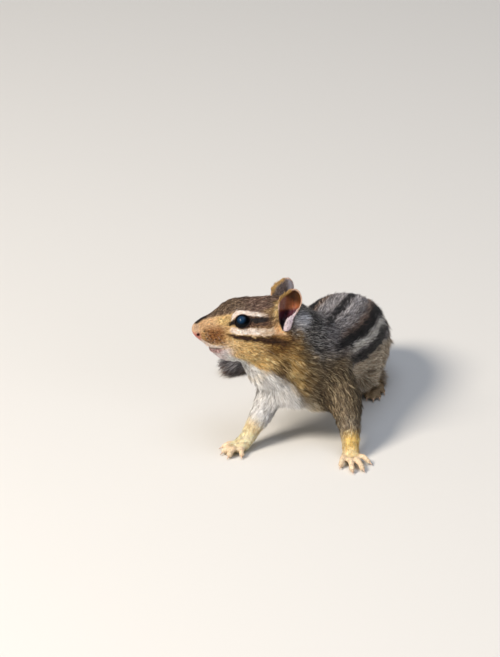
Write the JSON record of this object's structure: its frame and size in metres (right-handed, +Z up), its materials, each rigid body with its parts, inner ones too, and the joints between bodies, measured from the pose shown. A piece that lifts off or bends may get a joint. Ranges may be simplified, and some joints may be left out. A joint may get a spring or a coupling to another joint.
{
  "type": "eastern chipmunk model",
  "caption": "Life-size still model of an eastern chipmunk, alert on all fours with its head turned aside and its tail curled on the floor.",
  "frame": {"origin": "on the floor, under the middle of the whole animal's box", "axes": "+Z up, +Y from the chest back along the trunk, +X towards the animal's left"},
  "size_m": [0.072, 0.124, 0.0611],
  "materials": {
    "coat": "soft grizzled fur",
    "skin": "bare skin with very short hair",
    "eye": "wet gloss",
    "claw": "horn, satin"
  },
  "bodies": {
    "root": {"head": "coat", "neck": "coat", "trunk": "coat", "foreleg_left": "coat", "foreleg_right": "coat", "forefoot_left": "coat", "forefoot_right": "coat", "hindleg_left": "coat", "hindleg_right": "coat", "hindfoot_left": "coat", "hindfoot_right": "coat", "tail_base": "coat", "tail_middle": "coat", "tail_tip": "coat", "ear_left": "skin", "ear_right": "skin", "eye_left": "eye", "eye_right": "eye"}
  },
  "joints": []
}
